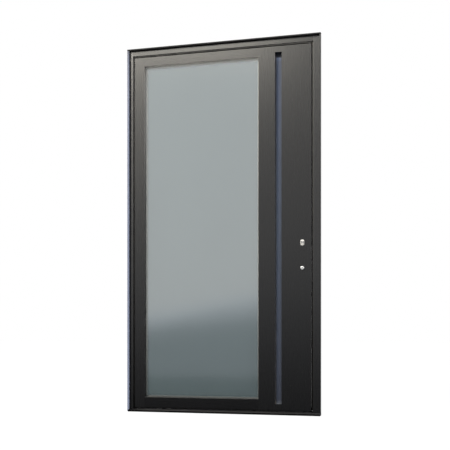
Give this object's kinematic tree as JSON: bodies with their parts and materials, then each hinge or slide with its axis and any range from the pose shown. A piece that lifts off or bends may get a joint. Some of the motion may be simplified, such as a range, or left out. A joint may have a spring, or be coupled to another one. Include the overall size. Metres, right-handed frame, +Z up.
{
  "type": "pivot door",
  "caption": "Tall pivot door in its frame: glazed aluminium leaf on an offset vertical pivot, flat lock-side panel with a long recessed grip, sloped threshold and slim surround bars",
  "frame": {"origin": "middle of the threshold's underside, in the plane of the pivot axis at mid depth of the frame", "axes": "+X to the right seen from outside, +Y towards the inside, +Z up"},
  "size_m": [1.35, 0.135, 2.509],
  "materials": {
    "dark_aluminium": "satin dark bronze-grey coating on aluminium",
    "surround_black": "satin black coating on aluminium bar",
    "pale_aluminium": "pale blue-grey anodised aluminium",
    "insulating_bar": "matt black insulating polyamide",
    "seal_rubber": "matt dark grey rubber",
    "grip_aluminium": "satin blue-grey anodised aluminium",
    "satin_glass": "satin grey-green glass",
    "spacer_aluminium": "mill aluminium",
    "sill_aluminium": "satin dark grey aluminium",
    "bright_steel": "bright satin stainless steel",
    "reader_glass": "smooth grey window",
    "satin_steel": "satin steel"
  },
  "bodies": {
    "frame": {"left_surround": "surround_black", "left_edge_trim": "pale_aluminium", "right_surround": "surround_black", "head_surround": "surround_black", "left_jamb_outer": "dark_aluminium", "left_jamb_inner": "dark_aluminium", "right_jamb_outer": "dark_aluminium", "right_jamb_inner": "dark_aluminium", "right_cover_flange": "dark_aluminium", "head_outer": "dark_aluminium", "head_inner": "dark_aluminium", "frame_thermal_break": "insulating_bar", "threshold": "sill_aluminium", "frame_seals": "seal_rubber", "strike_plate": "satin_steel", "floor_pivot": "satin_steel", "top_pivot": "satin_steel"},
    "leaf": {"left_stile_outer": "dark_aluminium", "left_stile_inner": "dark_aluminium", "top_rail_outer": "dark_aluminium", "top_rail_inner": "dark_aluminium", "bottom_rail_outer": "dark_aluminium", "bottom_rail_inner": "dark_aluminium", "mullion_outer": "dark_aluminium", "mullion_inner": "dark_aluminium", "lock_stile_outer": "dark_aluminium", "lock_stile_inner": "dark_aluminium", "leaf_thermal_break": "insulating_bar", "panel_outer_skin": "dark_aluminium", "panel_inner_skin": "dark_aluminium", "panel_end_blocks": "dark_aluminium", "panel_web": "insulating_bar", "outer_grip_channel": "grip_aluminium", "inner_grip_channel": "grip_aluminium", "outer_glass": "satin_glass", "glass_spacer": "spacer_aluminium", "inner_glass": "satin_glass", "glazing_gaskets": "seal_rubber", "glazing_beads": "dark_aluminium", "finger_reader": "bright_steel", "reader_window": "reader_glass", "cylinder_roses": "bright_steel", "lock_cylinder": "bright_steel", "lock_faceplate": "satin_steel", "lock_bolts": "satin_steel", "leaf_seals": "seal_rubber", "bottom_pivot_shoe": "satin_steel", "top_pivot_shoe": "satin_steel"}
  },
  "joints": [
    {"name": "leaf_pivot", "type": "hinge", "parent": "frame", "child": "leaf", "pos_m": [-0.425, 0, 0.026], "axis": [0, 0, 1], "range_deg": [0, 90]}
  ]
}
